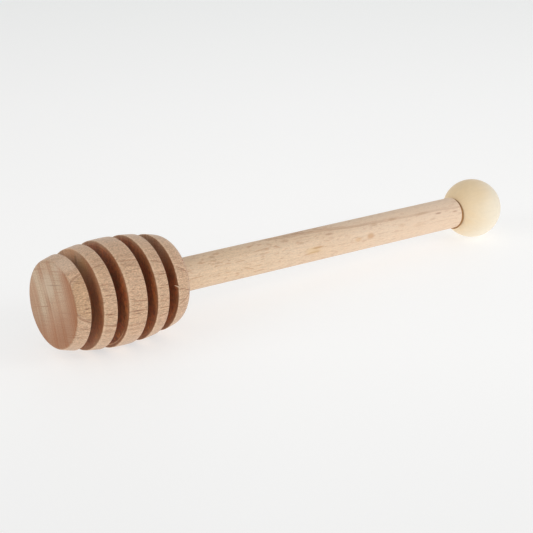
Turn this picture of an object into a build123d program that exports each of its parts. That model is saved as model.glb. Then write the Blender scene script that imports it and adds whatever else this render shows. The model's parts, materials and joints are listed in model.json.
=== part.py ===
from build123d import *
import os
from math import asin, atan2, degrees, hypot, radians, sqrt, tan

# A turned wooden honey dipper: a bowed, grooved head on one end of a plain dowel
# and a smooth ball on the other. The dowel goes full width into the head, and with a
# thinner tenon into the ball. Both holes are drilled blind, and both joints are glued.
# Each piece is made along +X, with the head's front face at X = 0, and the whole
# is then laid down the way it rests on a table, on its fattest discs and its ball.
# All lengths are in millimetres.

# Head: widths are measured along the axis, from the front face back
front_disc_width = 4.25
second_disc_width = 4.25
middle_disc_width = 6.3
fourth_disc_width = 4.45
back_disc_width = 6.1
groove_width = 3.4            # one parting tool cuts all four grooves
head_diameter = 31.0          # at the middle of its length, where the barrel is fattest
head_end_diameter = 25.2      # where the bow would meet the two end faces
core_diameter = 16.0          # what the grooves leave around the dowel
front_edge_radius = 1.0       # sanded edge of the flat front face
back_edge_radius = 4.0        # rounded shoulder towards the handle
rim_break = 0.2               # the grooves' sharp rims, broken by a touch of sandpaper
head_socket_depth = 20.0

# Handle
dowel_diameter = 10.0
handle_reach = 114.2          # bare dowel between the head and the ball
dowel_chamfer = 0.8
tenon_diameter = 6.0          # turned on the dowel, so that a shoulder stands against the ball
tenon_chamfer = 0.5

# Ball
ball_diameter = 19.2
ball_hole_depth = 10.0
mouth_chamfer = 0.2           # breaks the drilled edge

# Glued fits
glue_clearance = 0.05         # around the dowel and the tenon, and before the shoulder
end_gap = 0.5                 # between each end of the dowel and the bottom of its hole
drill_point_angle = 118.0     # degrees across the drill's tip

# How far the cutting shapes run past the faces that they cut
overrun = 1.0

# Worked out from the sizes above
grooved_disc_widths = [front_disc_width, second_disc_width, middle_disc_width, fourth_disc_width]
head_length = sum(grooved_disc_widths) + len(grooved_disc_widths) * groove_width + back_disc_width
head_radius = head_diameter / 2
head_end_radius = head_end_diameter / 2
core_radius = core_diameter / 2
dowel_radius = dowel_diameter / 2
socket_radius = dowel_radius + glue_clearance
tenon_radius = tenon_diameter / 2
ball_hole_radius = tenon_radius + glue_clearance
ball_radius = ball_diameter / 2
mouth_x = head_length + handle_reach
ball_x = mouth_x + sqrt(ball_radius**2 - ball_hole_radius**2)

# The bow is one arc, so its radius follows from its chord and its rise
bow_rise = head_radius - head_end_radius
bow_radius = ((head_length / 2) ** 2 + bow_rise**2) / (2 * bow_rise)


def head_half_profile():
    """Half of the head's outline, above the axis: a bowed barrel with square grooves in it."""
    front_rim = (0, head_end_radius)
    fattest = (head_length / 2, head_radius)
    back_rim = (head_length, head_end_radius)
    with BuildSketch() as half:
        with BuildLine():
            ThreePointArc(front_rim, fattest, back_rim)
            Polyline(back_rim, (head_length, 0), (0, 0), front_rim)
        make_face()
        fillet(half.vertices().sort_by_distance(front_rim)[0], front_edge_radius)
        fillet(half.vertices().sort_by_distance(back_rim)[0], back_edge_radius)
        groove_start = 0
        for disc_width in grooved_disc_widths:
            groove_start += disc_width
            groove_middle = groove_start + groove_width / 2
            with Locations((groove_middle, core_radius)):
                Rectangle(
                    groove_width,
                    head_radius - core_radius + overrun,
                    align=(Align.CENTER, Align.MIN),
                    mode=Mode.SUBTRACT,
                )
            both_rims = half.vertices().sort_by_distance((groove_middle, head_radius))[:2]
            chamfer(both_rims, rim_break)
            groove_start += groove_width
    return half.sketch


def drilled_socket(radius, depth, lead=overrun):
    """A blind hole along +X from X = 0, with the cone that the drill's tip leaves at its end.

    The cutting shape starts lead before X = 0, to clear what stands in front of the mouth.
    """
    tip_length = radius / tan(radians(drill_point_angle / 2))
    with BuildPart() as hole:
        with BuildSketch():
            with BuildLine():
                Polyline(
                    (-lead, 0),
                    (-lead, radius),
                    (depth, radius),
                    (depth + tip_length, 0),
                    close=True,
                )
            make_face()
        revolve(axis=Axis.X)
    return hole.part


def dipper_head():
    """Five discs on one core, turned from one blank, with a socket drilled in the back."""
    back_face = Location((head_length, 0, 0), (0, 180, 0))
    with BuildPart() as head:
        add(head_half_profile())
        revolve(axis=Axis.X)
        add(back_face * drilled_socket(socket_radius, head_socket_depth), mode=Mode.SUBTRACT)
    return head.part


def handle_dowel():
    """A plain dowel, full width from the bottom of the head's socket to its shoulder at the
    ball, and a thinner tenon from there to near the bottom of the ball's hole."""
    start_x = head_length - head_socket_depth + end_gap
    shoulder_x = mouth_x - glue_clearance
    end_x = mouth_x + ball_hole_depth - end_gap
    corners = [
        ((start_x, dowel_radius), dowel_chamfer),
        ((shoulder_x, dowel_radius), rim_break),
        ((end_x, tenon_radius), tenon_chamfer),
    ]
    with BuildPart() as dowel:
        with BuildSketch() as half:
            with BuildLine():
                Polyline(
                    (start_x, 0),
                    (start_x, dowel_radius),
                    (shoulder_x, dowel_radius),
                    (shoulder_x, tenon_radius),
                    (end_x, tenon_radius),
                    (end_x, 0),
                    close=True,
                )
            make_face()
            for corner, size in corners:
                chamfer(half.vertices().sort_by_distance(corner)[0], size)
        revolve(axis=Axis.X)
    return dowel.part


def ball_knob():
    """A solid ball, drilled towards its centre, with the drilled edge broken."""
    cap_height = ball_radius - (ball_x - mouth_x)
    hole = drilled_socket(ball_hole_radius, ball_hole_depth, lead=cap_height + overrun)
    with BuildPart() as ball:
        with Locations((ball_x, 0, 0)):
            Sphere(ball_radius)
        add(Location((mouth_x, 0, 0)) * hole, mode=Mode.SUBTRACT)
        drilled_edges = ball.edges().filter_by(GeomType.CIRCLE).filter_by(Plane.YZ)
        chamfer(drilled_edges.sort_by(Axis.X)[0], mouth_chamfer)
    return ball.part


def resting_place(pieces):
    """Tip the axis until the bow and the ball touch one plane, and put that plane at Z = 0.

    The arc of the bow is centred bow_radius - head_radius beyond the axis, so the common
    tangent of that arc and the ball gives the slope. The middle of the whole is at X = Y = 0.
    """
    run = ball_x - head_length / 2
    drop = bow_radius - head_radius
    slope = asin((bow_radius - ball_radius) / hypot(run, drop)) - atan2(drop, run)
    tip = Rot(0, degrees(slope), 0)
    box = Compound(children=[tip * piece for piece in pieces.values()]).bounding_box()
    middle = box.center()
    return Pos(-middle.X, -middle.Y, -box.min.Z) * tip


pieces = {
    "dipper_head": dipper_head(),
    "handle_dowel": handle_dowel(),
    "ball_knob": ball_knob(),
}
place = resting_place(pieces)

os.makedirs("parts", exist_ok=True)
for name, piece in pieces.items():
    export_step(place * piece, f"parts/{name}.step")

print("head length", round(head_length, 3), "bow radius", round(bow_radius, 3))
print("overall length along the axis", round(ball_x + ball_radius, 3))
for label, x in [("front face", 0), ("head back", head_length), ("ball mouth", mouth_x), ("ball", ball_x)]:
    print(label, "centre", place * Location((x, 0, 0)))
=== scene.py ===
# %% [markdown]
# # A turned beech honey dipper
# The dipper is three turnings: a grooved head, a dowel and a ball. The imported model
# already holds their sizes, so the lesson is about two things: how to model turned
# shapes with a spin, and how to make wood that is right on every face at once,
# because its pattern is solid and the shape only cuts through it.
#
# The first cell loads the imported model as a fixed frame. Nothing in it is moved.

# %% Load the frame
import json
from math import asin, atan2, cos, degrees, hypot, pi, radians, sin, sqrt

import bmesh
import bpy
from mathutils import Matrix, Vector


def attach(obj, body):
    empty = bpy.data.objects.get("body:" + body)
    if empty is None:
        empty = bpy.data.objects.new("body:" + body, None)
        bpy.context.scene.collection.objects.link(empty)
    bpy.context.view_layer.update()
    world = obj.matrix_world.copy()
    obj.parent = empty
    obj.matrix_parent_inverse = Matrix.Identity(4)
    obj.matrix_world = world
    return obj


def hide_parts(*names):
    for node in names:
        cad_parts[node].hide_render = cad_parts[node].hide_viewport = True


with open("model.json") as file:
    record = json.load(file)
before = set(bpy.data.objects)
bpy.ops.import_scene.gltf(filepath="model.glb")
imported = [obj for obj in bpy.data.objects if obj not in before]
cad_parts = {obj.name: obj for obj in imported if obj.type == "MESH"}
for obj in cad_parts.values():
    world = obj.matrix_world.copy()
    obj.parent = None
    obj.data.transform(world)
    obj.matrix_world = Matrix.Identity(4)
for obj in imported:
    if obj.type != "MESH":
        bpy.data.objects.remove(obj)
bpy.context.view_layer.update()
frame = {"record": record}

# %% [markdown]
# ## Where the turning axis lies
# A lathe piece is easiest to think about along its own axis, but the dipper lies on a
# table, on its fattest disc and its ball, so its axis slopes. Every piece is modelled
# in millimetres along X, with the head's front face at X = 0, and its mesh is then
# placed once with one matrix. The record's front_face mount says where that face is
# and which way it looks, so nothing about the place is guessed.

# %% Millimetres, and the matrix that lays a turning down
MM = 0.001

front_mount = next(m for m in frame["record"]["mounts"] if m["name"] == "front_face")
front_centre = Vector(front_mount["pos_m"])
outward = Vector(front_mount["axis"])
slope = atan2(outward.z, -outward.x)
lay_down = Matrix.Translation(front_centre) @ Matrix.Rotation(slope, 4, "Y") @ Matrix.Scale(MM, 4)
print(f"the axis drops {degrees(slope):.2f} degrees towards the ball")

# %% [markdown]
# ## The head's outline
# A turner roughs the blank to a barrel, parts four grooves square into it with one
# narrow tool, rounds the shoulder at the handle's end and breaks the edges with
# sandpaper. The outline follows the same order. The bow is one arc, and the two
# rounded ends are smaller arcs that touch it from inside, so a centre for each is
# all that the outline needs.

# %% Sizes of the head, in millimetres
disc_widths = [4.25, 4.25, 6.3, 4.45, 6.1]
groove_width = 3.4
head_length = sum(disc_widths) + (len(disc_widths) - 1) * groove_width
head_radius = 15.5
end_radius = 12.6
core_radius = 8.0
front_round = 1.0
back_round = 4.0

middle = head_length / 2
rise = head_radius - end_radius
bow_radius = (middle**2 + rise**2) / (2 * rise)
bow_drop = bow_radius - head_radius
print(f"the head is {head_length:.2f} mm long, and its bow has a radius of {bow_radius:.2f} mm")


# %% The outline, before the grooves
def inner_centre(wall_x, radius):
    """The centre of a rounding that touches an end wall and, from inside, the bow."""
    x = radius if wall_x == 0 else wall_x - radius
    return x, sqrt((bow_radius - radius) ** 2 - (x - middle) ** 2) - bow_drop


def touch_x(x, radius):
    """Where the rounding centred at x runs into the bow."""
    return middle + (x - middle) * bow_radius / (bow_radius - radius)


front_x, front_r = inner_centre(0, front_round)
back_x, back_r = inner_centre(head_length, back_round)
front_touch = touch_x(front_x, front_round)
back_touch = touch_x(back_x, back_round)


def outline(x):
    """The head's radius at x."""
    if x < front_touch:
        return front_r + sqrt(max(0, front_round**2 - (x - front_x) ** 2))
    if x > back_touch:
        return back_r + sqrt(max(0, back_round**2 - (x - back_x) ** 2))
    return sqrt(bow_radius**2 - (x - middle) ** 2) - bow_drop


print(f"flat front to radius {front_r:.2f}, flat back to {back_r:.2f}")

# %% [markdown]
# ## From a profile to a turning
# The profile is a chain of points above the axis, from one pole to the other. Two
# operators make the turning: a bevel on single points rounds the corners that
# sandpaper would round, and a spin of a full turn makes the surface. The points that
# lie on the axis are merged, so both poles are closed and the shell has no hole.

# %% Spin a profile about the X axis
def spun(profile, steps, softened=()):
    """A closed turning in millimetres. softened lists (point of the profile, rounding)."""
    bm = bmesh.new()
    chain = [bm.verts.new((x, 0, radius)) for x, radius in profile]
    for near, far in zip(chain, chain[1:]):
        bm.edges.new((near, far))
    for corner, rounding in softened:
        found = min(bm.verts, key=lambda v: hypot(v.co.x - corner[0], v.co.z - corner[1]))
        bmesh.ops.bevel(
            bm, geom=[found], offset=rounding, segments=4, profile=0.5, affect="VERTICES", material=-1
        )
    bmesh.ops.spin(
        bm, geom=bm.verts[:] + bm.edges[:], cent=(0, 0, 0), axis=(1, 0, 0),
        dvec=(0, 0, 0), angle=2 * pi, steps=steps, use_merge=True,
    )
    bmesh.ops.remove_doubles(bm, verts=bm.verts[:], dist=0.0005)
    bmesh.ops.recalc_face_normals(bm, faces=bm.faces[:])
    return bm


def stations(start, end, spacing):
    """Evenly spaced places from start to end, both included."""
    count = max(1, round((end - start) / spacing))
    return [start + (end - start) * i / count for i in range(count + 1)]


def placed(name, bm, node=None):
    """The finished piece: laid down, smooth-shaded, and shown in place of the CAD node if any."""
    bmesh.ops.transform(bm, matrix=lay_down, verts=bm.verts[:])
    mesh = bpy.data.meshes.new(name)
    bm.to_mesh(mesh)
    bm.free()
    mesh.shade_smooth()
    piece = bpy.data.objects.new(name, mesh)
    bpy.context.scene.collection.objects.link(piece)
    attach(piece, "root")
    if node:
        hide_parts(node)
    print(name, len(mesh.vertices), "vertices,", len(mesh.polygons), "faces")
    return piece


# %% [markdown]
# ## The head
# The profile runs from the middle of the front face, over the five discs and down
# into each groove, round the shoulder, and then into the drilled socket, which ends in
# the cone that a drill's tip leaves. Each disc's front rim stays crisp, with no more
# rounding than a touch of fine paper gives. Its back rim is softer, because the paper
# trails over it. The groove's floor keeps a small round from the corner of the parting
# tool.

# %% The walls of one groove
rim_round = 0.22
back_rim_round = 0.7
floor_round = 0.3


def parted_groove(start):
    """The points down one wall of a groove and up the other, and its corners with their rounding."""
    end = start + groove_width
    down = outline(start) - core_radius
    up = outline(end) - core_radius
    points = [(start, outline(start) - down * share) for share in (0.15, 0.4, 0.7, 1)]
    points += [(end, core_radius + up * share) for share in (0, 0.3, 0.6, 0.85)]
    corners = [
        ((start, outline(start)), back_rim_round), ((start, core_radius), floor_round),
        ((end, core_radius), floor_round), ((end, outline(end)), rim_round),
    ]
    return points, corners


# %% Turn the head
socket_radius = 5.05
socket_depth = 20.0
drill_point = 0.6009                       # length of a 118 degree point, in radii
bow_step = 0.4                             # spacing of the points along the bow
back_face_radii = (back_r, 7.5, 6.0, socket_radius)
socket_places = (1, 5, 10, 15, socket_depth)

# The rounded ends are the part of a quarter circle between the flat and the bow
front_turn = [front_x - front_round * cos(pi / 2 * i / 8) for i in range(1, 7)]
back_turn = [back_x + back_round * sin(pi / 2 * i / 16) for i in range(3, 16)]

head_profile = [(0, front_r * share) for share in (0, 0.25, 0.5, 0.75, 1)]
softened = []
disc_start = 0
for number, width in enumerate(disc_widths, start=1):
    disc_end = disc_start + width
    if number == 1:
        places = front_turn + stations(front_touch, disc_end, bow_step)
    elif number == len(disc_widths):
        places = stations(disc_start, back_touch, bow_step) + back_turn
    else:
        places = stations(disc_start, disc_end, bow_step)
    head_profile += [(place, outline(place)) for place in places]
    if number < len(disc_widths):
        points, corners = parted_groove(disc_end)
        head_profile += points
        softened += corners
        disc_start = disc_end + groove_width
head_profile += [(head_length, radius) for radius in back_face_radii]
head_profile += [(head_length - place, socket_radius) for place in socket_places]
head_profile += [(head_length - socket_depth - socket_radius * drill_point, 0)]

head_mesh = spun(head_profile, steps=360, softened=softened)
print("profile points", len(head_profile), "rounded corners", len(softened))

# %% [markdown]
# ## One torn fibre
# Beech is tough, and a parting tool that is a little dull lifts a fibre here and there
# in place of cutting it. One was torn up at the last disc's front rim and stands across
# the groove. A thin cone from foot to tip is all that it needs, with its foot inside
# the disc so that no gap shows.

# %% Stand the fibre up
fibre_foot = Vector((33.2, -13.75, 2.8))
fibre_tip = Vector((31.3, -14.15, 3.8))
foot_radius = 0.26
tip_radius = 0.08

fibre = fibre_tip - fibre_foot
lean = fibre.to_track_quat("Z", "Y").to_matrix().to_4x4()
stand_up = Matrix.Translation((fibre_foot + fibre_tip) / 2) @ lean
bmesh.ops.create_cone(
    head_mesh, cap_ends=True, segments=10, radius1=foot_radius, radius2=tip_radius,
    depth=fibre.length, matrix=stand_up,
)
print(f"torn fibre {fibre.length:.2f} mm long")
head = placed("turned_head", head_mesh, "dipper_head")

# %% [markdown]
# ## The dowel and the ball
# The dowel goes into the head at its full width. At the other end it is turned down to
# a thinner tenon, and its shoulder stands against the ball. The ball is round, so it
# falls away from the flat shoulder, and the narrow wedge between the two is the dark
# line that the eye reads as the joint. The shoulder's edge is broken with sandpaper.

# %% Turn the dowel
dowel_radius = 5.0
tenon_radius = 3.0
handle_reach = 114.2                       # bare dowel between the head and the ball
hole_depth = 10.0                          # of the ball's hole
glue_gap = 0.05
end_gap = 0.5
dowel_chamfer = 0.8
shoulder_break = 0.3
tenon_break = 0.5
dowel_step = 2.0                           # spacing of the points along the dowel

dowel_start = head_length - socket_depth + end_gap
mouth_x = head_length + handle_reach
shoulder_x = mouth_x - glue_gap
tenon_end = mouth_x + hole_depth - end_gap
full_width = stations(dowel_start + dowel_chamfer, shoulder_x, dowel_step)

dowel_profile = [(dowel_start, 0), (dowel_start, dowel_radius - dowel_chamfer)]
dowel_profile += [(place, dowel_radius) for place in full_width]
dowel_profile += [(shoulder_x, tenon_radius), (tenon_end, tenon_radius), (tenon_end, 0)]
dowel_corners = [((shoulder_x, dowel_radius), shoulder_break), ((tenon_end, tenon_radius), tenon_break)]
dowel_mesh = spun(dowel_profile, steps=128, softened=dowel_corners)
dowel = placed("beech_dowel", dowel_mesh, "handle_dowel")

# %% Turn the ball
ball_radius = 9.6
hole_radius = tenon_radius + glue_gap
ball_centre = mouth_x + sqrt(ball_radius**2 - hole_radius**2)
mouth_break = 0.2
arc_steps = 96

lip_angle = pi - asin((hole_radius + mouth_break) / ball_radius)
arc = [lip_angle * (1 - i / arc_steps) for i in range(arc_steps)]
outside = [(ball_centre + ball_radius * cos(angle), ball_radius * sin(angle)) for angle in arc]
lip_x = outside[0][0]
ball_profile = [
    (mouth_x + hole_depth + hole_radius * drill_point, 0),
    (mouth_x + hole_depth, hole_radius),
    (lip_x + mouth_break, hole_radius),
]
ball_profile += outside
ball_profile += [(ball_centre + ball_radius, 0)]
ball = placed("turned_ball", spun(ball_profile, steps=192), "ball_knob")

# %% [markdown]
# ## The squeezed-out glue
# When the tenon is pushed home, a little glue comes out all round and dries in the wedge
# between the shoulder and the ball. More of it runs to the lower side, so the ring is a
# spun circle that sits a touch low and leans: it hides behind the shoulder's edge on top
# and shows as a brown line underneath.

# %% Spin the ring of glue
glue_thickness = 0.36                      # radius of the bead
glue_radius = 4.52
glue_sag = Vector((0, -0.12, -0.6))
glue_tilt = 0.095                          # radians, its lower side towards the dowel
glue_x = mouth_x + 0.3                     # the middle of the wedge

bead = bmesh.new()
section = bmesh.ops.create_circle(bead, segments=20, radius=glue_thickness)["verts"]
bmesh.ops.rotate(bead, verts=section, cent=(0, 0, 0), matrix=Matrix.Rotation(pi / 2, 3, "X"))
bmesh.ops.translate(bead, verts=section, vec=(glue_x, 0, glue_radius))
bmesh.ops.spin(
    bead, geom=bead.verts[:] + bead.edges[:], cent=(0, 0, 0), axis=(1, 0, 0),
    dvec=(0, 0, 0), angle=2 * pi, steps=160, use_merge=True,
)
leaning = Matrix.Rotation(glue_tilt, 3, "Y")
bmesh.ops.rotate(bead, verts=bead.verts[:], cent=(glue_x, 0, 0), matrix=leaning)
bmesh.ops.translate(bead, verts=bead.verts[:], vec=glue_sag)
bmesh.ops.recalc_face_normals(bead, faces=bead.faces[:])
glue = placed("glue_ring", bead)

# %% [markdown]
# ## What beech is, and how to draw it
# Beech is a pale, even wood with three marks that tell it apart. Growth rings are
# broad and quiet: a ring starts light, darkens towards its outer edge, and stops at a
# line. Rays are thin plates that stand on edge from the pith outwards, so a face that
# cuts across them shows short dark dashes, a face that runs along them shows broad
# flecks, and the end grain shows fine lines. Fibres run along the axis and leave a
# soft streak. End grain drinks light, so it is darker and redder than the side.
#
# All of it is drawn in one space fixed to the piece, in millimetres: along the axis,
# across the rings, and along the rings. A turning then cuts through it by itself, and
# a line on the front face meets the same line on the side of the disc.

# %% Colours and nodes
def linear(hex_colour):
    """An sRGB hex colour as the linear RGBA that shaders use."""
    channels = [int(hex_colour[i:i + 2], 16) / 255 for i in (1, 3, 5)]
    return [c / 12.92 if c <= 0.04045 else ((c + 0.055) / 1.055) ** 2.4 for c in channels] + [1]


def add(tree, kind, inputs=(), **settings):
    """A node with its settings, and its inputs set to a value or linked from a socket."""
    made = tree.nodes.new(kind)
    for name, value in settings.items():
        setattr(made, name, value)
    for socket, value in dict(inputs).items():
        if isinstance(value, bpy.types.NodeSocket):
            tree.links.new(value, made.inputs[socket])
        else:
            made.inputs[socket].default_value = value
    return made


print(f"the middle grey #808080 is {linear('#808080')[0]:.3f} in linear light")


# %% A blank material, and the space of its wood
def blank_material(name):
    """A new material, its node tree, and its shader."""
    material = bpy.data.materials.new(name)
    material.use_nodes = True
    return material, material.node_tree, material.node_tree.nodes["Principled BSDF"]


def wood_space(tree, turn=0.0):
    """Millimetres from the head's front face: along the axis, across the rings, along the rings.

    turn is the angle about the axis, in radians, from the table's plane to the line that
    crosses the rings.
    """
    place = add(tree, "ShaderNodeTexCoord").outputs["Object"]
    return add(
        tree, "ShaderNodeMapping",
        {"Vector": place, "Location": front_centre, "Rotation": (turn, slope, 0), "Scale": (MM, MM, MM)},
        vector_type="TEXTURE",
    ).outputs["Vector"]


# %% Colour ramps, and single marks
def fill_ramp(ramp_node, stops):
    """Stops of (place from 0 to 1, colour) for a colour ramp, the first and last at its ends."""
    elements = ramp_node.color_ramp.elements
    elements[0].color = stops[0][1]
    elements[1].color = stops[-1][1]
    for place, colour in stops[1:-1]:
        elements.new(place).color = colour


def oval_mark(tree, grain, centre, size):
    """How much of one oval mark shows: 1 in its middle, fading to 0 at its edge."""
    local = add(
        tree, "ShaderNodeMapping", {"Vector": grain, "Location": centre, "Scale": size},
        vector_type="TEXTURE",
    ).outputs["Vector"]
    far = add(tree, "ShaderNodeVectorMath", {0: local}, operation="LENGTH").outputs["Value"]
    return add(
        tree, "ShaderNodeMapRange", {"Value": far, "From Min": 1.0, "From Max": 0.3},
        interpolation_type="SMOOTHSTEP",
    ).outputs["Result"]


# %% [markdown]
# ## Growth rings
# A tree grows round its pith, so a ring is every place at one distance from it. A real
# trunk is never quite round or straight: the rings sway by a fraction of a millimetre,
# lean away from the dowel's or the head's axis, and can lean more on one side. All of
# that is added to the distance before any colour is drawn, and the result is called age
# here, because it counts the years outwards. Noise that runs about 17 mm along the
# trunk and 20 mm across it makes the sway.

# %% Age: the distance from the pith
def growth_rings(tree, grain, pith, slant, spread, wander):
    """The distance from the pith, in millimetres, where pith is its place across and along the rings.

    slant is how fast the rings lean away from the axis, spread is how much more they do on
    their upper side, and wander is how far they sway.
    """
    sway_space = add(tree, "ShaderNodeMapping", {"Vector": grain, "Scale": (0.06, 0.05, 0.05)})
    sway = add(
        tree, "ShaderNodeTexNoise",
        {"Vector": sway_space.outputs[0], "Scale": 1.0, "Detail": 4.0, "Roughness": 0.55},
    ).outputs["Fac"]
    swayed = add(
        tree, "ShaderNodeMath", {0: sway, 1: wander, 2: -wander / 2}, operation="MULTIPLY_ADD"
    ).outputs[0]
    from_pith = add(
        tree, "ShaderNodeMapping",
        {"Vector": grain, "Location": (0, -pith[0], -pith[1]), "Scale": (0, 1, 1)},
    ).outputs["Vector"]
    distance = add(tree, "ShaderNodeVectorMath", {0: from_pith}, operation="LENGTH").outputs["Value"]
    leaning = add(
        tree, "ShaderNodeVectorMath", {0: grain, 1: (slant, 0, 0)}, operation="DOT_PRODUCT"
    ).outputs["Value"]
    parts = add(tree, "ShaderNodeSeparateXYZ", {"Vector": grain})
    upper = add(tree, "ShaderNodeMath", {0: parts.outputs["Z"], 1: 0.0}, operation="MAXIMUM").outputs[0]
    fanned = add(
        tree, "ShaderNodeMath", {0: parts.outputs["X"], 1: upper}, operation="MULTIPLY"
    ).outputs[0]
    shifts = add(
        tree, "ShaderNodeMath", {0: fanned, 1: -spread, 2: leaning}, operation="MULTIPLY_ADD"
    ).outputs[0]
    moved = add(tree, "ShaderNodeMath", {0: shifts, 1: swayed}, operation="ADD").outputs[0]
    return add(tree, "ShaderNodeMath", {0: distance, 1: moved}, operation="ADD").outputs[0]


# %% Light and dark within the years
def year_tones(tree, age, years):
    """How dark the growth of each year is, and how much the finer bands within it add.

    years lists (distance from the pith, darkness). The bands come from dry and wet weeks,
    and are about 1 mm apart.
    """
    first, last = years[0][0], years[-1][0]
    share_of_years = add(
        tree, "ShaderNodeMapRange", {"Value": age, "From Min": first, "From Max": last}
    ).outputs["Result"]
    late = add(tree, "ShaderNodeValToRGB", {"Fac": share_of_years})
    fill_ramp(late, [((far - first) / (last - first), (dark, dark, dark, 1)) for far, dark in years])
    bands = add(
        tree, "ShaderNodeTexNoise", {"W": age, "Scale": 1.1, "Detail": 3.0, "Roughness": 0.7},
        noise_dimensions="1D",
    ).outputs["Fac"]
    band_tone = add(
        tree, "ShaderNodeMapRange",
        {"Value": bands, "From Min": 0.3, "From Max": 0.7, "To Min": -0.3, "To Max": 0.3},
    ).outputs["Result"]
    dark = add(
        tree, "ShaderNodeMath", {0: late.outputs[0], 1: band_tone}, operation="ADD", use_clamp=True
    ).outputs[0]
    return dark, band_tone


# %% [markdown]
# ## Rays
# A ray is a plate a few tenths of a millimetre thick, up to a centimetre long towards
# the pith and a few millimetres high along the axis. Stretched noise makes such plates:
# its space is scaled to the size of one ray, and only its highest values count, so the
# rays stand apart. Two sizes are drawn, because beech has both. Where the surface lies
# along a ray, its broad side would show, and how much of it does is set for each piece.

# %% Rays in two sizes
def ray_marks(tree, grain, facing, turn, tilt, rays, broad):
    """Where rays show, from 0 to 1.

    rays lists (size of a ray, how rare it is), tilt is the slope of the fibres in radians,
    and broad is how much of a ray shows where the surface lies along it.
    """
    waver = add(
        tree, "ShaderNodeTexNoise", {"Vector": grain, "Scale": 0.3, "Detail": 1.0, "Roughness": 0.5}
    ).outputs["Color"]
    bent = add(
        tree, "ShaderNodeVectorMath", {0: waver, 1: (0.0, 0.0, 0.16), 2: grain},
        operation="MULTIPLY_ADD",
    ).outputs[0]
    ray_layers = []
    for size, rarity in rays:
        ray_space = add(
            tree, "ShaderNodeMapping", {"Vector": bent, "Rotation": (0, tilt, 0), "Scale": size},
            vector_type="TEXTURE",
        )
        plates = add(
            tree, "ShaderNodeTexNoise", {"Vector": ray_space.outputs[0], "Scale": 1.0, "Detail": 0.0}
        ).outputs["Fac"]
        ray_layers.append(add(
            tree, "ShaderNodeMapRange", {"Value": plates, "From Min": rarity, "From Max": rarity + 0.2}
        ).outputs["Result"])
    all_rays = add(
        tree, "ShaderNodeMath", {0: ray_layers[0], 1: ray_layers[1]}, operation="ADD", use_clamp=True
    ).outputs[0]
    plate_side = (0, -sin(turn), cos(turn))
    beside = add(
        tree, "ShaderNodeVectorMath", {0: facing, 1: plate_side}, operation="DOT_PRODUCT"
    ).outputs["Value"]
    lying = add(tree, "ShaderNodeMath", {0: beside}, operation="ABSOLUTE").outputs[0]
    left_of_ray = add(
        tree, "ShaderNodeMapRange",
        {"Value": lying, "From Min": 0.45, "From Max": 0.9, "To Min": 1.0, "To Max": broad},
    ).outputs["Result"]
    return add(
        tree, "ShaderNodeMath", {0: all_rays, 1: left_of_ray}, operation="MULTIPLY"
    ).outputs[0]


# %% [markdown]
# ## Pores, fibres and blotches
# Three finer patterns make the wood look like wood from close by. Beech's pores are too
# fine to show in the render, so their speckle is drawn near half a millimetre. A fibre's
# streak is about 0.45 mm wide and 5 mm long. Blotches, where the wood took up moisture
# unevenly, are a centimetre or two across.

# %% Fine marks, and where the end grain is
def fine_marks(tree, grain):
    """The patterns of the pores, of the fibres and of the blotches."""
    pore_space = add(tree, "ShaderNodeMapping", {"Vector": grain, "Scale": (1.6, 3.8, 3.8)})
    pores = add(
        tree, "ShaderNodeTexNoise", {"Vector": pore_space.outputs[0], "Scale": 1.0, "Detail": 1.5}
    ).outputs["Fac"]
    fibre_space = add(tree, "ShaderNodeMapping", {"Vector": grain, "Scale": (1 / 5, 1 / 0.45, 1 / 0.45)})
    fibres = add(
        tree, "ShaderNodeTexNoise",
        {"Vector": fibre_space.outputs[0], "Scale": 1.0, "Detail": 2.0, "Roughness": 0.6},
    ).outputs["Fac"]
    blotches = add(
        tree, "ShaderNodeTexNoise", {"Vector": grain, "Scale": 0.09, "Detail": 2.0, "Roughness": 0.5}
    ).outputs["Fac"]
    blotch = add(
        tree, "ShaderNodeMapRange",
        {"Value": blotches, "From Min": 0.35, "From Max": 0.65, "To Max": 0.3},
    ).outputs["Result"]
    return pores, fibres, blotch


def end_grain(tree, facing):
    """How squarely the surface is cut across the fibres: 1 on end grain and 0 on side grain."""
    along = add(
        tree, "ShaderNodeVectorMath", {0: facing, 1: outward}, operation="DOT_PRODUCT"
    ).outputs["Value"]
    squareness = add(tree, "ShaderNodeMath", {0: along}, operation="ABSOLUTE").outputs[0]
    return add(
        tree, "ShaderNodeMapRange", {"Value": squareness, "From Min": 0.55, "From Max": 0.95},
        interpolation_type="SMOOTHSTEP",
    ).outputs["Result"]


# %% [markdown]
# ## Side grain and end grain
# The same wood has two looks. On the side only the last of a year's growth shows, so
# the darkness is raised to a high power, and the rays are dashes. On the end grain the
# whole year shows, with fine rings about 0.4 mm apart combed through it, and the rays
# are fainter lines. Each look has its own light and dark tones.

# %% The two looks of beech
def side_look(tree, dark, band_tone, ray_mask, tones):
    """The colour of side grain."""
    side_dark = add(tree, "ShaderNodeMath", {0: dark, 1: 16.0}, operation="POWER").outputs[0]
    side = add(
        tree, "ShaderNodeMix",
        {0: side_dark, 6: linear(tones["side_early"]), 7: linear(tones["side_late"])},
        data_type="RGBA",
    ).outputs[2]
    side_band = add(
        tree, "ShaderNodeMath", {0: band_tone, 1: -0.2, 2: 1.0}, operation="MULTIPLY_ADD"
    ).outputs[0]
    banded = add(
        tree, "ShaderNodeVectorMath", {0: side, "Scale": side_band}, operation="SCALE"
    ).outputs[0]
    return add(
        tree, "ShaderNodeMix", {0: ray_mask, 6: banded, 7: linear(tones["ray"])}, data_type="RGBA"
    ).outputs[2]


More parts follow.
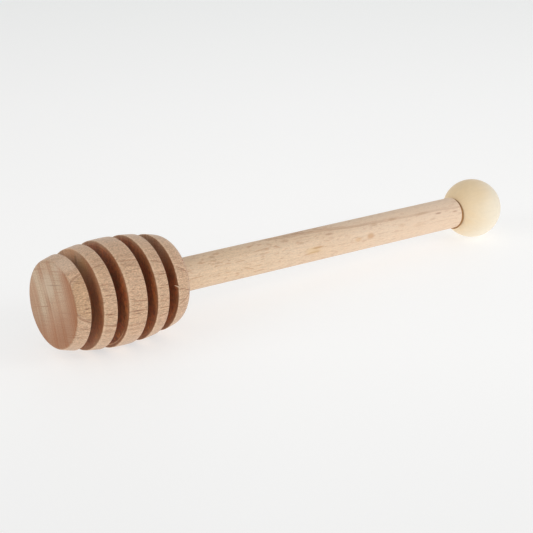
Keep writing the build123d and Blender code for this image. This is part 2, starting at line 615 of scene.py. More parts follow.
def end_look(tree, dark, age, ray_mask, tones):
    """The colour of end grain."""
    cut = add(
        tree, "ShaderNodeMix", {0: dark, 6: linear(tones["end_early"]), 7: linear(tones["end_late"])},
        data_type="RGBA",
    ).outputs[2]
    weeks = add(
        tree, "ShaderNodeTexNoise", {"W": age, "Scale": 2.6, "Detail": 1.0}, noise_dimensions="1D"
    ).outputs["Fac"]
    week_tone = add(
        tree, "ShaderNodeMapRange",
        {"Value": weeks, "From Min": 0.3, "From Max": 0.7, "To Min": 0.87, "To Max": 1.13},
    ).outputs["Result"]
    combed = add(
        tree, "ShaderNodeVectorMath", {0: cut, "Scale": week_tone}, operation="SCALE"
    ).outputs[0]
    line_share = add(tree, "ShaderNodeMath", {0: ray_mask, 1: 0.55}, operation="MULTIPLY").outputs[0]
    return add(
        tree, "ShaderNodeMix", {0: line_share, 6: combed, 7: linear(tones["ray"])}, data_type="RGBA"
    ).outputs[2]


# %% [markdown]
# ## The sanded surface, and a whole plank
# Bare beech sanded by hand is matte. Its fibres stand up a little and scatter the light
# there, so one streak pattern drives the relief and the roughness as well as the colour.
# The last function puts the steps together in the order in which they lie in the wood:
# years, rays and fine marks first, then the two looks, and then blotches, streaks and
# pores over both.

# %% The surface of sanded beech
def sanded_surface(tree, shader, ray_mask, fibres):
    """Fibres stand up a few hundredths of a millimetre and are duller, and rays lie lower."""
    relief = add(
        tree, "ShaderNodeMath", {0: ray_mask, 1: -0.6, 2: fibres}, operation="MULTIPLY_ADD"
    ).outputs[0]
    bump = add(tree, "ShaderNodeBump", {"Height": relief, "Strength": 0.6, "Distance": 0.00006})
    tree.links.new(bump.outputs["Normal"], shader.inputs["Normal"])
    rough = add(
        tree, "ShaderNodeMapRange",
        {"Value": fibres, "From Min": 0.3, "From Max": 0.7, "To Min": 0.5, "To Max": 0.62},
    ).outputs["Result"]
    tree.links.new(rough, shader.inputs["Roughness"])
    shader.inputs["Specular IOR Level"].default_value = 0.5


# %% A plank's worth of beech
def beech(name, turn, pith, slant, spread, wander, tilt, years, rays, broad, grit, tones):
    """Bare beech as a solid pattern. grit is how strongly the open pores speckle the surface.

    The other values go to the functions above. The sockets that come back let a piece add
    marks of its own.
    """
    material, tree, shader = blank_material(name)
    grain = wood_space(tree, turn)
    facing = add(tree, "ShaderNodeNewGeometry").outputs["Normal"]
    age = growth_rings(tree, grain, pith, slant, spread, wander)
    dark, band_tone = year_tones(tree, age, years)
    ray_mask = ray_marks(tree, grain, facing, turn, tilt, rays, broad)
    pores, fibres, blotch = fine_marks(tree, grain)
    end = end_grain(tree, facing)

    flecked = side_look(tree, dark, band_tone, ray_mask, tones)
    lined = end_look(tree, dark, age, ray_mask, tones)
    plain = add(tree, "ShaderNodeMix", {0: end, 6: flecked, 7: lined}, data_type="RGBA").outputs[2]
    blotched = add(
        tree, "ShaderNodeMix", {0: blotch, 6: plain, 7: linear(tones["blotch"])}, data_type="RGBA"
    ).outputs[2]
    streak = add(
        tree, "ShaderNodeMapRange",
        {"Value": fibres, "From Min": 0.25, "From Max": 0.75, "To Min": 0.91, "To Max": 1.08},
    ).outputs["Result"]
    streaked = add(
        tree, "ShaderNodeVectorMath", {0: blotched, "Scale": streak}, operation="SCALE"
    ).outputs[0]
    speckle = add(
        tree, "ShaderNodeMapRange",
        {"Value": pores, "From Min": 0.3, "From Max": 0.7, "To Min": 1 - grit, "To Max": 1 + grit},
    ).outputs["Result"]
    speckled = add(
        tree, "ShaderNodeVectorMath", {0: streaked, "Scale": speckle}, operation="SCALE"
    ).outputs[0]

    sanded_surface(tree, shader, ray_mask, fibres)
    sockets = {"grain": grain, "colour": speckled, "end": end, "dark": dark, "age": age}
    return material, tree, shader, sockets


# %% [markdown]
# ## The head's wood
# The blank for the head was cut well away from the tree's centre, so its rings cross
# the front face as almost straight bands. The widest ring is the one that leaves the
# face at its right-hand edge, as a dark red line, and comes back as a lighter corner on
# the side of the first disc.

# %% Beech for the head
head_turn = -0.288                         # radians
head_years = [
    (74.0, 0.3), (81.0, 0.38), (83.8, 0.62), (85.6, 0.1), (87.4, 0.5), (88.7, 0.93), (89.5, 0.95),
    (90.7, 0.6), (92.6, 0.55), (94.9, 0.85), (96.1, 0.2), (98.2, 0.25), (99.8, 0.6), (101.6, 0.88),
    (102.6, 0.93), (102.78, 1.0), (102.98, 1.0), (103.1, 0.0), (105.0, 0.0), (108.0, 0.3),
]
head_tones = {
    "side_early": "#C7A688", "side_late": "#AB8466", "end_early": "#C1AF94", "end_late": "#A37959",
    "ray": "#94684A", "blotch": "#C9A384",
}
head_wood, tree, shader, wood = beech(
    "Beech, bare, head", turn=head_turn, pith=(90, -13), slant=0.0, spread=0.012, wander=0.5, tilt=0.1,
    years=head_years, rays=[((4.4, 10, 0.24), 0.6), ((2.2, 6, 0.18), 0.64)], broad=0.15, grit=0.27,
    tones=head_tones,
)
grain = wood["grain"]
parts = add(tree, "ShaderNodeSeparateXYZ", {"Vector": grain})
print("beech for the head:", len(head_years), "stops for its years,", len(tree.nodes), "nodes")

# %% [markdown]
# ## The reddened face
# End grain that has lain in the light reddens, and this face does so away from its upper
# middle. Past the widest ring the wood is a little deeper and yellower, like the start
# of a year, and more so on the first disc than further back.

# %% Stain on the face, and the newest wood
from_middle = add(
    tree, "ShaderNodeMapping", {"Vector": grain, "Location": (0, -3.0, -6.0), "Scale": (0, 1, 1)}
).outputs["Vector"]
off_middle = add(tree, "ShaderNodeVectorMath", {0: from_middle}, operation="LENGTH").outputs["Value"]
stain = add(
    tree, "ShaderNodeMapRange", {"Value": off_middle, "From Min": 4.0, "From Max": 17.0, "To Max": 0.66},
    interpolation_type="SMOOTHSTEP",
).outputs["Result"]
stained_end = add(tree, "ShaderNodeMath", {0: stain, 1: wood["end"]}, operation="MULTIPLY").outputs[0]
reddened = add(
    tree, "ShaderNodeMix", {0: stained_end, 6: wood["colour"], 7: linear("#945014")}, data_type="RGBA"
).outputs[2]

newest = add(
    tree, "ShaderNodeMapRange", {"Value": wood["age"], "From Min": 103.0, "From Max": 103.3}
).outputs["Result"]
in_front = add(
    tree, "ShaderNodeMapRange",
    {"Value": parts.outputs["X"], "From Min": 5.0, "From Max": 9.0, "To Min": 1.0, "To Max": 0.3},
).outputs["Result"]
newest_share = add(tree, "ShaderNodeMath", {0: newest, 1: in_front}, operation="MULTIPLY").outputs[0]
reddened = add(
    tree, "ShaderNodeMix", {0: newest_share, 6: reddened, 7: linear("#F8F3E8")}, data_type="RGBA",
    blend_type="MULTIPLY",
).outputs[2]

# %% [markdown]
# ## Rims and grooves by their depth
# Two colourings follow the turning and not the tree: a painted highlight along the rims,
# and the walls of the grooves, browned partly by real scorch and partly as painted shade.
# Both are found by how deep a place lies below the bow, which is the bow's own formula
# written in nodes. Within 3 mm of either end of the head the depth comes from the face or
# the shoulder and not from a groove, so nothing is browned there.

# %% Depth below the bow
end_margin = 3.0
flat = add(tree, "ShaderNodeVectorMath", {0: grain, 1: (0, 1, 1)}, operation="MULTIPLY").outputs[0]
radius = add(tree, "ShaderNodeVectorMath", {0: flat}, operation="LENGTH").outputs["Value"]
off_centre = add(
    tree, "ShaderNodeMath", {0: parts.outputs["X"], 1: middle}, operation="SUBTRACT"
).outputs[0]
squared = add(tree, "ShaderNodeMath", {0: off_centre, 1: off_centre}, operation="MULTIPLY").outputs[0]
height = add(tree, "ShaderNodeMath", {0: bow_radius**2, 1: squared}, operation="SUBTRACT").outputs[0]
reach = add(tree, "ShaderNodeMath", {0: height}, operation="SQRT").outputs[0]
bow_here = add(tree, "ShaderNodeMath", {0: reach, 1: bow_drop}, operation="SUBTRACT").outputs[0]
depth_in = add(tree, "ShaderNodeMath", {0: bow_here, 1: radius}, operation="SUBTRACT").outputs[0]
off_side = add(tree, "ShaderNodeMath", {0: off_centre}, operation="ABSOLUTE").outputs[0]
grooved = add(
    tree, "ShaderNodeMath", {0: off_side, 1: middle - end_margin}, operation="LESS_THAN"
).outputs[0]
print(f"grooves are looked for from {end_margin:.1f} to {head_length - end_margin:.2f} mm")

# %% Painted highlight along each disc's front rim
rim_stops = [(0.0, (0, 0, 0, 1))]
groove_end = 0
for width in disc_widths[:-1]:
    groove_end += width + groove_width
    for offset, level in ((-0.05, 0), (0.0, 1), (0.45, 0.7), (0.9, 0)):
        rim_stops.append(((groove_end + offset) / head_length, (level, level, level, 1)))
rim_stops.append((1.0, (0, 0, 0, 1)))
along_head = add(
    tree, "ShaderNodeMath", {0: parts.outputs["X"], 1: head_length}, operation="DIVIDE"
).outputs[0]
rims = add(tree, "ShaderNodeValToRGB", {"Fac": along_head})
fill_ramp(rims, rim_stops)
shallow = add(
    tree, "ShaderNodeMapRange", {"Value": depth_in, "From Min": 0.35, "From Max": 0.1, "To Max": 0.45}
).outputs["Result"]
# A noise breaks the painted highlight up along each rim
highlight_breaks = add(
    tree, "ShaderNodeTexNoise", {"Vector": grain, "Scale": 1.3, "Detail": 2.0, "Roughness": 0.7}
).outputs["Fac"]
ragged = add(
    tree, "ShaderNodeMapRange", {"Value": highlight_breaks, "From Min": 0.38, "From Max": 0.6, "To Max": 1.5}
).outputs["Result"]
rim_level = add(tree, "ShaderNodeMath", {0: rims.outputs[0], 1: shallow}, operation="MULTIPLY").outputs[0]
rim_highlight_share = add(tree, "ShaderNodeMath", {0: rim_level, 1: ragged}, operation="MULTIPLY").outputs[0]
rim_highlighted = add(
    tree, "ShaderNodeMix", {0: rim_highlight_share, 6: reddened, 7: linear("#E2C2A0")}, data_type="RGBA"
).outputs[2]
print("pale rims at", len(disc_widths) - 1, "discs")

# %% [markdown]
# ## Scorched and shaded grooves
# The grooves were never sanded, and the tool's rubbing left their walls browned. Deeper
# down they are browner and darker still, which is painted shade where little light
# reaches. The first groove is browned least, and high up it keeps hardly any of the brown,
# as the last groove does too: that is painted light, where these walls are more open to
# the light. On the walls the brown is broken up by red stretches, by the rings that the
# tool turned and by a mottle, and the years still show through it.

# %% How much each wall is browned, with painted shade deep down and painted light high up
# The brown grows with depth partly as real scorch and partly as painted shade
browned_and_shaded = add(
    tree, "ShaderNodeMapRange", {"Value": depth_in, "From Min": 0.1, "From Max": 1.5, "To Max": 0.92}
).outputs["Result"]
upright = add(
    tree, "ShaderNodeVectorMath", {0: flat, 1: (0, sin(head_turn), cos(head_turn))},
    operation="DOT_PRODUCT",
).outputs["Value"]
# Each is (place that gets painted light, place that no longer does, share of brown left low down, share
# left high up)
painted_light_walls = [(8.5, 11.0, 0.6, 0.12), (30.0, 28.0, 0.95, 0.22)]
for spared_x, full_x, low_share, high_share in painted_light_walls:
    spared = add(
        tree, "ShaderNodeMapRange",
        {"Value": upright, "From Min": 5.0, "From Max": 11.0, "To Min": low_share, "To Max": high_share},
    ).outputs["Result"]
    kept = add(
        tree, "ShaderNodeMapRange",
        {"Value": parts.outputs["X"], "From Min": spared_x, "From Max": full_x, "To Min": spared},
    ).outputs["Result"]
    browned_and_shaded = add(tree, "ShaderNodeMath", {0: browned_and_shaded, 1: kept}, operation="MULTIPLY").outputs[0]
# Less brown on the upper side is painted light from above
painted_sky_light = add(
    tree, "ShaderNodeMapRange",
    {"Value": upright, "From Min": 5.0, "From Max": 11.0, "To Min": 1.0, "To Max": 0.88},
).outputs["Result"]
browned_and_shaded = add(tree, "ShaderNodeMath", {0: browned_and_shaded, 1: painted_sky_light}, operation="MULTIPLY").outputs[0]
scorch_and_shade = add(tree, "ShaderNodeMath", {0: browned_and_shaded, 1: grooved}, operation="MULTIPLY").outputs[0]
print("browned share worked out,", len(tree.nodes), "nodes so far")

# %% The colour of a browned wall, darker with depth as painted shade
how_deep = add(
    tree, "ShaderNodeMapRange", {"Value": depth_in, "From Min": 0.0, "From Max": 6.0}
).outputs["Result"]
# This ramp's darkening with depth is painted shade
scorch = add(tree, "ShaderNodeValToRGB", {"Fac": how_deep})
fill_ramp(scorch, [
    (0.0, linear("#A96A3A")), (0.3, linear("#A4612C")), (0.55, linear("#8E511E")),
    (1.0, linear("#7C4A1E")),
])
reds = add(
    tree, "ShaderNodeTexNoise", {"Vector": grain, "Scale": 0.35, "Detail": 3.0, "Roughness": 0.7}
).outputs["Fac"]
red_share = add(
    tree, "ShaderNodeMapRange", {"Value": reds, "From Min": 0.45, "From Max": 0.56, "To Max": 0.6}
).outputs["Result"]
scorch_tone = add(
    tree, "ShaderNodeMix", {0: red_share, 6: scorch.outputs[0], 7: linear("#9C4A1E")}, data_type="RGBA"
).outputs[2]
tool_rings = add(
    tree, "ShaderNodeTexNoise", {"W": radius, "Scale": 2.4, "Detail": 2.0}, noise_dimensions="1D"
).outputs["Fac"]
mottle = add(
    tree, "ShaderNodeTexNoise", {"Vector": grain, "Scale": 0.8, "Detail": 4.0, "Roughness": 0.8}
).outputs["Fac"]
# Each is (pattern, its lowest and highest value that count, the brightness at the two)
wall_patterns = [
    (wood["dark"], 0.0, 1.0, 1.25, 0.8), (tool_rings, 0.35, 0.65, 0.86, 1.14),
    (mottle, 0.4, 0.6, 0.66, 1.36),
]
for pattern, least, most, from_tone, to_tone in wall_patterns:
    tone = add(
        tree, "ShaderNodeMapRange",
        {"Value": pattern, "From Min": least, "From Max": most, "To Min": from_tone, "To Max": to_tone},
    ).outputs["Result"]
    scorch_tone = add(
        tree, "ShaderNodeVectorMath", {0: scorch_tone, "Scale": tone}, operation="SCALE"
    ).outputs[0]
head_colour = add(
    tree, "ShaderNodeMix", {0: scorch_and_shade, 6: rim_highlighted, 7: scorch_tone}, data_type="RGBA"
).outputs[2]
print("head's wood with its grooves:", len(tree.nodes), "nodes")

# %% [markdown]
# ## Marks that only this head has
# Low down in the second groove a pale arc just inside the rim is painted light, where
# light from the table below catches the wall. The rest are single soft ovals: a grey
# patch in the middle of the face and a pale one above it, which is painted sheen, rays
# that cross the face, a red cheek on its left, tan stretches high up in the first groove,
# which are painted light from above, with a brown ring line between them, and a red dash
# on the last disc.

# %% The painted highlight arc
wall_x = disc_widths[0] + disc_widths[1] + 2 * groove_width
arc_depth = 0.95
# Painted light: a pale arc low on the second groove's wall, where light from below catches it
in_arc = add(tree, "ShaderNodeMath", {0: depth_in, 1: arc_depth, 2: 0.12}, operation="COMPARE").outputs[0]
on_wall = add(
    tree, "ShaderNodeMath", {0: parts.outputs["X"], 1: wall_x, 2: 0.2}, operation="COMPARE"
).outputs[0]
low_down = add(
    tree, "ShaderNodeMapRange", {"Value": upright, "From Min": -6.0, "From Max": -8.5, "To Max": 0.5}
).outputs["Result"]
arc_on_wall = add(tree, "ShaderNodeMath", {0: in_arc, 1: on_wall}, operation="MULTIPLY").outputs[0]
arc_highlight_share = add(tree, "ShaderNodeMath", {0: arc_on_wall, 1: low_down}, operation="MULTIPLY").outputs[0]
head_colour = add(
    tree, "ShaderNodeMix", {0: arc_highlight_share, 6: head_colour, 7: linear("#E0BE98")}, data_type="RGBA"
).outputs[2]
print(f"painted highlight arc {arc_depth} mm below the rim at {wall_x:.1f} mm")

# %% Single marks on the head
# Each is (its centre, its half sizes, how much of it shows, its colour)
head_marks = [
    ((0.0, 0.6, 5.4), (3.0, 4.6, 5.2), 0.35, "#CDBEA6"),
    # The next oval, pale and high on the first disc, is painted sheen
    ((2.0, -7.0, 11.0), (3.8, 5.4, 3.8), 0.22, "#E8D6C4"),
    ((0.3, -3.0, 5.6), (1.5, 6.0, 0.3), 0.45, "#7D5C42"),
    ((0.3, -4.5, 4.6), (1.5, 4.0, 0.22), 0.3, "#7D5C42"),
    ((0.3, 1.0, -1.0), (1.5, 6.5, 0.2), 0.1, "#7D5C42"),
    ((0.3, -7.5, -2.2), (1.5, 5.0, 0.2), 0.22, "#7A4E34"),
    ((0.3, 11.2, 1.2), (1.5, 2.2, 0.22), 0.4, "#8A5A3A"),
    ((0.0, 9.5, 2.2), (2.0, 4.5, 6.5), 0.35, "#A06A42"),
    # The next oval, tan and high in the first groove, is painted light from above
    ((7.6, -0.5, 12.9), (0.8, 6.0, 3.4), 0.42, "#DDA676"),
    ((7.6, -3.4, 11.4), (0.8, 0.8, 2.2), 0.5, "#7E5C38"),
    # The next oval, tan and high in the first groove, is painted light from above
    ((7.6, -6.2, 9.2), (0.8, 3.6, 4.0), 0.38, "#BF9050"),
    ((37.7, -11.65, 5.7), (1.3, 1.5, 0.35), 0.8, "#9A5A40"),
]
for centre, size, most, tone in head_marks:
    shows = oval_mark(tree, grain, centre, size)
    share = add(tree, "ShaderNodeMath", {0: shows, 1: most}, operation="MULTIPLY").outputs[0]
    head_colour = add(
        tree, "ShaderNodeMix", {0: share, 6: head_colour, 7: linear(tone)}, data_type="RGBA"
    ).outputs[2]
tree.links.new(head_colour, shader.inputs["Base Color"])
print(len(head_marks), "marks on the head")

# %% Sheen, and the head is done
# Sanded fibres stand up like a short nap and catch light at the edges, which is sheen
shader.inputs["Sheen Weight"].default_value = 0.2
shader.inputs["Sheen Roughness"].default_value = 0.4
head.data.materials.append(head_wood)
print("head's wood:", len(tree.nodes), "nodes")

# %% [markdown]
# ## The dowel's wood
# Dowels are cut from straight-grained stock, but never quite straight: the rings lean a
# degree or two away from the axis, so one of them comes out of the top near the middle
# of the handle and slides down its side towards the ball. The wood is paler than the
# head's and was sanded finer, so its pores hardly show. Towards the ball it is paler
# still, and pinker.

# %% Beech for the dowel
dowel_years = [
    (50.0, 0.35), (51.6, 0.5), (52.3, 0.7), (52.5, 0.92), (52.85, 0.97), (53.05, 0.15), (54.5, 0.1),
    (56.5, 0.3), (58.0, 0.15), (60.0, 0.25), (62.0, 0.45), (66.0, 0.3),
]
dowel_tones = {
    "side_early": "#DBC0A2", "side_late": "#A67A55", "end_early": "#C3A68A", "end_late": "#A3734F",
    "ray": "#C6A080", "blotch": "#D8B58F",
}
dowel_wood, tree, shader, wood = beech(
    "Beech, bare, dowel", turn=pi / 2, pith=(60.3, 0), slant=-0.0315, spread=0.0, wander=1.5, tilt=-0.03,
    years=dowel_years, rays=[((2.6, 0.5, 1.0), 0.6), ((1.4, 0.35, 0.8), 0.64)], broad=1.0, grit=0.09,
    tones=dowel_tones,
)
grain = wood["grain"]
parts = add(tree, "ShaderNodeSeparateXYZ", {"Vector": grain})
far_along = add(
    tree, "ShaderNodeMapRange",
    {"Value": parts.outputs["X"], "From Min": 60.0, "From Max": 140.0, "To Max": 0.5},
).outputs["Result"]
dowel_colour = add(
    tree, "ShaderNodeMix", {0: far_along, 6: wood["colour"], 7: linear("#ECD5C0")}, data_type="RGBA"
).outputs[2]
print("beech for the dowel:", len(tree.nodes), "nodes")

# %% [markdown]
# ## Marks that only this dowel has
# Each mark is given by its place along the axis and by its angle up from the side that
# faces the camera. There are two soft spots, a yellowish patch with two darker strokes
# that meet in a point, and short brown rays.

# %% Single marks on the dowel
# Each is (place along, angle in degrees, half length, half breadth, how much shows, colour)
dowel_marks = [
    (107.9, 5, 1.9, 1.0, 0.45, "#D3A877"), (113.1, 8, 2.1, 1.4, 0.6, "#C49468"),
    (89.8, 4, 4.2, 1.5, 0.4, "#DDBB85"),
    (91.6, 11, 3.4, 0.45, 0.62, "#B8895C"), (90.0, -3, 3.6, 0.4, 0.55, "#BF9464"),
    (54.0, 37, 1.3, 0.35, 0.45, "#A77C5C"), (64.1, -3, 1.5, 0.4, 0.35, "#B58C68"),
    (53.1, 64, 1.5, 0.35, 0.4, "#A77C5C"), (70.3, 33, 1.4, 0.35, 0.4, "#AC8262"),
    (80.4, 61, 2.0, 0.4, 0.3, "#A57A5A"), (85.9, 39, 1.4, 0.4, 0.4, "#AC8262"),
    (97.2, 49, 2.3, 0.36, 0.45, "#A0694C"), (142.8, 33, 1.9, 0.36, 0.55, "#93583A"),
    (140.0, 17, 1.8, 0.4, 0.3, "#B58C68"), (150.1, 26, 1.6, 0.4, 0.45, "#A77658"),
    (115.5, 46, 2.0, 0.6, 0.35, "#B0855F"), (123.5, 50, 2.4, 0.5, 0.35, "#B0855F"),
    (136.0, 46, 4.5, 0.5, 0.35, "#B48C68"), (126.5, 20, 2.2, 0.9, 0.25, "#C49A74"),
    (134.0, 8, 4.0, 0.8, 0.2, "#C49A74"),
]
mark_depth = 1.5
for along, angle, length, breadth, most, tone in dowel_marks:
    centre = (along, dowel_radius * sin(radians(angle)), dowel_radius * cos(radians(angle)))
    shows = oval_mark(tree, grain, centre, (length, breadth, mark_depth))
    share = add(tree, "ShaderNodeMath", {0: shows, 1: most}, operation="MULTIPLY").outputs[0]
    dowel_colour = add(
        tree, "ShaderNodeMix", {0: share, 6: dowel_colour, 7: linear(tone)}, data_type="RGBA"
    ).outputs[2]
tree.links.new(dowel_colour, shader.inputs["Base Color"])
dowel.data.materials.append(dowel_wood)
print(len(dowel_marks), "marks on the dowel")

# %% [markdown]
# ## The ball's wood
# The ball is bought in, and comes from a close-grained pale wood, such as birch or
# maple. It is sanded finer than the rest, so it has a soft sheen and hardly any figure.
# The cheek that faces the sky and the head is a tan heartwood colour, and the other is
# nearly white. The border between the two is drawn out along the grain, and over both
# lies a faint silk of fibres under a millimetre apart.

# %% Pale wood for the ball
pale, tree, shader = blank_material("Pale close-grained wood, sanded smooth")
grain = wood_space(tree)
from_centre = add(
    tree, "ShaderNodeVectorMath", {0: grain, 1: (ball_centre, 0, 0)}, operation="SUBTRACT"
).outputs[0]
to_the_heart = (-0.83, 0.1, 0.54)
heart = add(
    tree, "ShaderNodeVectorMath", {0: from_centre, 1: to_the_heart}, operation="DOT_PRODUCT"
).outputs["Value"]
fibre_turn = (0.4, 0.5, 0)                 # radians, how the ball's fibres lie
swirl_space = add(
    tree, "ShaderNodeMapping", {"Vector": grain, "Rotation": fibre_turn, "Scale": (0.05, 0.16, 0.16)}
)
swirl = add(
    tree, "ShaderNodeTexNoise",
    {"Vector": swirl_space.outputs[0], "Scale": 1.0, "Detail": 2.0, "Distortion": 0.4},
).outputs["Fac"]
swirled = add(tree, "ShaderNodeMath", {0: swirl, 1: 9.0, 2: heart}, operation="MULTIPLY_ADD").outputs[0]
heart_share = add(
    tree, "ShaderNodeMapRange", {"Value": swirled, "From Min": 0.0, "From Max": 15.0},
    interpolation_type="SMOOTHSTEP",
).outputs["Result"]
body = add(
    tree, "ShaderNodeMix", {0: heart_share, 6: linear("#EBE0CB"), 7: linear("#EDD2A8")}, data_type="RGBA"
).outputs[2]
silk_space = add(
    tree, "ShaderNodeMapping", {"Vector": grain, "Rotation": fibre_turn, "Scale": (0.15, 1.4, 1.4)}
)
silk = add(
    tree, "ShaderNodeTexNoise", {"Vector": silk_space.outputs[0], "Scale": 1.0, "Detail": 2.0}
).outputs["Fac"]
silk_tone = add(
    tree, "ShaderNodeMapRange",
    {"Value": silk, "From Min": 0.3, "From Max": 0.7, "To Min": 0.975, "To Max": 1.02},
).outputs["Result"]
silky = add(tree, "ShaderNodeVectorMath", {0: body, "Scale": silk_tone}, operation="SCALE").outputs[0]
print("pale wood for the ball:", len(tree.nodes), "nodes")

# %% [markdown]
# ## The glue's edge on the ball
# Where the dowel's shoulder meets the ball, glue has soaked into the wood and dried
# brown. It is a thin ring just outside the shoulder, thicker underneath, because the
# circle that it is measured from sits a little below the axis.

# %% Glue line, and the ball is done
flat = add(tree, "ShaderNodeVectorMath", {0: grain, 1: (0, 1, 1)}, operation="MULTIPLY").outputs[0]
shifted = add(tree, "ShaderNodeVectorMath", {0: flat, 1: (0, 0.05, 0.2)}, operation="ADD").outputs[0]
from_ring = add(tree, "ShaderNodeVectorMath", {0: shifted}, operation="LENGTH").outputs["Value"]
glued = add(
    tree, "ShaderNodeMapRange", {"Value": from_ring, "From Min": 4.95, "From Max": 4.65, "To Max": 0.9}
).outputs["Result"]
parts = add(tree, "ShaderNodeSeparateXYZ", {"Vector": from_centre})
near_side = add(
    tree, "ShaderNodeMath", {0: parts.outputs["X"], 1: 0.0}, operation="LESS_THAN"
).outputs[0]
glue_share = add(tree, "ShaderNodeMath", {0: glued, 1: near_side}, operation="MULTIPLY").outputs[0]
ball_colour = add(
    tree, "ShaderNodeMix", {0: glue_share, 6: silky, 7: linear("#855A34")}, data_type="RGBA"
).outputs[2]
tree.links.new(ball_colour, shader.inputs["Base Color"])
shader.inputs["Roughness"].default_value = 0.55
shader.inputs["Specular IOR Level"].default_value = 0.35
shader.inputs["Sheen Weight"].default_value = 0.25
shader.inputs["Sheen Roughness"].default_value = 0.4
ball.data.materials.append(pale)
print("ball's wood with its glue line:", len(tree.nodes), "nodes")

# %% [markdown]
# ## Dried glue
# Wood glue dries to an amber brown film. It is smoother than the wood, so it shines a
# little more, and it is cloudy where it dried thick. One noise about 1 mm across drives
# both the colour and the gloss, so the two change together as they do in the real film.

# %% A film of glue
dried, tree, shader = blank_material("Dried wood glue, brown")
place = add(tree, "ShaderNodeTexCoord").outputs["Object"]
clouds = add(
    tree, "ShaderNodeTexNoise", {"Vector": place, "Scale": 900.0, "Detail": 2.0, "Roughness": 0.6}
).outputs["Fac"]
glue_colour = add(
    tree, "ShaderNodeMix", {0: clouds, 6: linear("#875A2C"), 7: linear("#B8874C")}, data_type="RGBA"
).outputs[2]
tree.links.new(glue_colour, shader.inputs["Base Color"])
skin = add(tree, "ShaderNodeMapRange", {"Value": clouds, "To Min": 0.3, "To Max": 0.5}).outputs["Result"]
tree.links.new(skin, shader.inputs["Roughness"])
glue.data.materials.append(dried)
print("dried glue:", len(tree.nodes), "nodes")

# %% [markdown]
# ## A white table
# The dipper lies on a sheet of white acrylic that glows a little from behind, which is
# what fills the undersides with light. What the camera sees of it is mostly one near-white
# tone with a painted pool of light in it, brightest around the dipper and darker nearer
# the camera, further away and to the left. The rest is the sheet itself with the dipper's
# soft shadow. Mirror rays see the white too, so wood at a grazing angle takes the pale
# sheen that it has on a real light table.

# %% The floor
floor_reach = 6.0                          # metres from its middle to each side
floor_mesh = bpy.data.meshes.new("pale_floor")
sheet = bmesh.new()
bmesh.ops.create_grid(sheet, x_segments=1, y_segments=1, size=floor_reach)
sheet.to_mesh(floor_mesh)
sheet.free()
floor = bpy.data.objects.new("pale_floor", floor_mesh)
bpy.context.scene.collection.objects.link(floor)

# %% White acrylic, lit from behind
floor_material, tree, shader = blank_material("White acrylic sheet")
shader.inputs["Base Color"].default_value = [0.75, 0.75, 0.745, 1]
shader.inputs["Roughness"].default_value = 0.5
shader.inputs["Specular IOR Level"].default_value = 0.2
shader.inputs["Emission Color"].default_value = [1, 1, 1, 1]
shader.inputs["Emission Strength"].default_value = 0.6
floor_mesh.materials.append(floor_material)
print("floor", 2 * floor_reach, "m wide")

# %% The near-white tone that the camera sees, with a painted pool of light
away_from_camera = (0.62, 0.785, 0)
to_the_right = (0.785, -0.62, 0)
fade_start = -0.16                         # metres from the dipper, along the view
fade_end = 0.4
place = add(tree, "ShaderNodeTexCoord").outputs["Object"]
away = add(
    tree, "ShaderNodeVectorMath", {0: place, 1: away_from_camera}, operation="DOT_PRODUCT"
).outputs["Value"]
fade = add(
    tree, "ShaderNodeMapRange", {"Value": away, "From Min": fade_start, "From Max": fade_end}
).outputs["Result"]
# This ramp and the left fade below paint the light's fall-off onto the floor
tone = add(tree, "ShaderNodeValToRGB", {"Fac": fade})
fill_ramp(tone, [
    (0.0, (0.52, 0.525, 0.525, 1)), (0.2, (0.635, 0.635, 0.63, 1)), (0.4, (0.635, 0.635, 0.63, 1)),
    (0.65, (0.575, 0.58, 0.58, 1)), (1.0, (0.45, 0.47, 0.465, 1)),
])
sideways = add(
    tree, "ShaderNodeVectorMath", {0: place, 1: to_the_right}, operation="DOT_PRODUCT"
).outputs["Value"]
left_fade = add(
    tree, "ShaderNodeMapRange", {"Value": sideways, "From Min": -0.14, "From Max": 0.0, "To Min": 0.9}
).outputs["Result"]
toned = add(
    tree, "ShaderNodeVectorMath", {0: tone.outputs[0], "Scale": left_fade}, operation="SCALE"
).outputs[0]
white = add(tree, "ShaderNodeEmission", {"Color": toned, "Strength": 1.0})
print(f"the tone fades over {fade_end - fade_start:.2f} m")

# %% Mix the sheet with its near-white tone
seen_share = 0.45
mirrored_share = 0.9
ray = add(tree, "ShaderNodeLightPath")
seen = add(
    tree, "ShaderNodeMath", {0: ray.outputs["Is Camera Ray"], 1: seen_share}, operation="MULTIPLY"
).outputs[0]
mirrored = add(
    tree, "ShaderNodeMath", {0: ray.outputs["Is Glossy Ray"], 1: mirrored_share, 2: seen},
    operation="MULTIPLY_ADD", use_clamp=True,
).outputs[0]
mixed = add(tree, "ShaderNodeMixShader", {0: mirrored, 1: shader.outputs[0], 2: white.outputs[0]})
tree.links.new(mixed.outputs[0], tree.nodes["Material Output"].inputs["Surface"])
print("white acrylic sheet:", len(tree.nodes), "nodes")

# %% [markdown]
# ## Soft light
# A light table stands in a white room, so the world is an even white, a little brighter
# for mirror rays. Two square lamps model the shape: a stronger one on the right that
# turns the discs' sides light, and a weaker one on the left that lights the front face.
# Both are large for their distance, so their shadows stay soft.

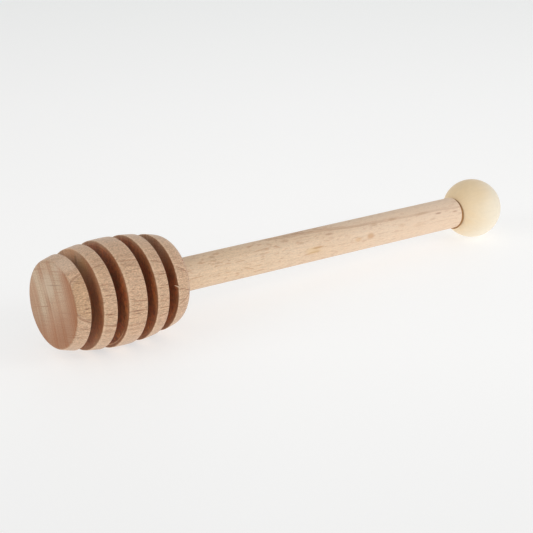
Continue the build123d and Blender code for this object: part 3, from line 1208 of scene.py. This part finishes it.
# %% The room
world = bpy.data.worlds.new("studio")
bpy.context.scene.world = world
world.use_nodes = True
tree = world.node_tree
ray = add(tree, "ShaderNodeLightPath")
strength = add(
    tree, "ShaderNodeMapRange", {"Value": ray.outputs["Is Glossy Ray"], "To Min": 0.5, "To Max": 0.95}
).outputs["Result"]
tree.nodes["Background"].inputs["Color"].default_value = (1, 1, 1, 1)
tree.links.new(strength, tree.nodes["Background"].inputs["Strength"])


# %% The lamps
def softbox(name, place, aim, size, power, tint):
    """A square lamp at place that shines at aim. Lengths are in metres, and power is in watts."""
    lamp = bpy.data.lights.new(name, "AREA")
    lamp.shape = "SQUARE"
    lamp.size = size
    lamp.energy = power
    lamp.color = tint
    holder = bpy.data.objects.new(name, lamp)
    holder.location = place
    holder.rotation_euler = (Vector(aim) - Vector(place)).to_track_quat("-Z", "Y").to_euler()
    bpy.context.scene.collection.objects.link(holder)
    print(name, power, "W")


over_the_table = (0, 0, 0.02)
warm_white = (1, 0.985, 0.96)
softbox("right_softbox", (0.62, -0.9, 0.5), over_the_table, size=0.6, power=4.8, tint=warm_white)
softbox("left_softbox", (-1.05, 0.1, 0.5), over_the_table, size=0.6, power=3.0, tint=warm_white)

# %% [markdown]
# ## The camera
# The camera stands half a metre away, in front of the head and to one side, and looks a
# little down on the dipper through a long lens, as in the photograph. Its place and its
# aim are in the part's frame, in millimetres.

# %% The photograph's view
camera_place = Vector((-308.21, -377.46, 196.89)) * MM
camera_aim = Vector((-10.27, 0, 9.65)) * MM
camera_data = bpy.data.cameras.new("photo_camera")
camera_data.sensor_width = 36
camera_data.lens = 115.06
camera_data.clip_start = 0.01
camera = bpy.data.objects.new("photo_camera", camera_data)
camera.location = camera_place
camera.rotation_euler = (camera_aim - camera_place).to_track_quat("-Z", "Y").to_euler()
bpy.context.scene.collection.objects.link(camera)
bpy.context.scene.camera = camera
bpy.context.scene.view_settings.view_transform = "Standard"
print(f"camera {(camera_aim - camera_place).length:.3f} m from where it looks")
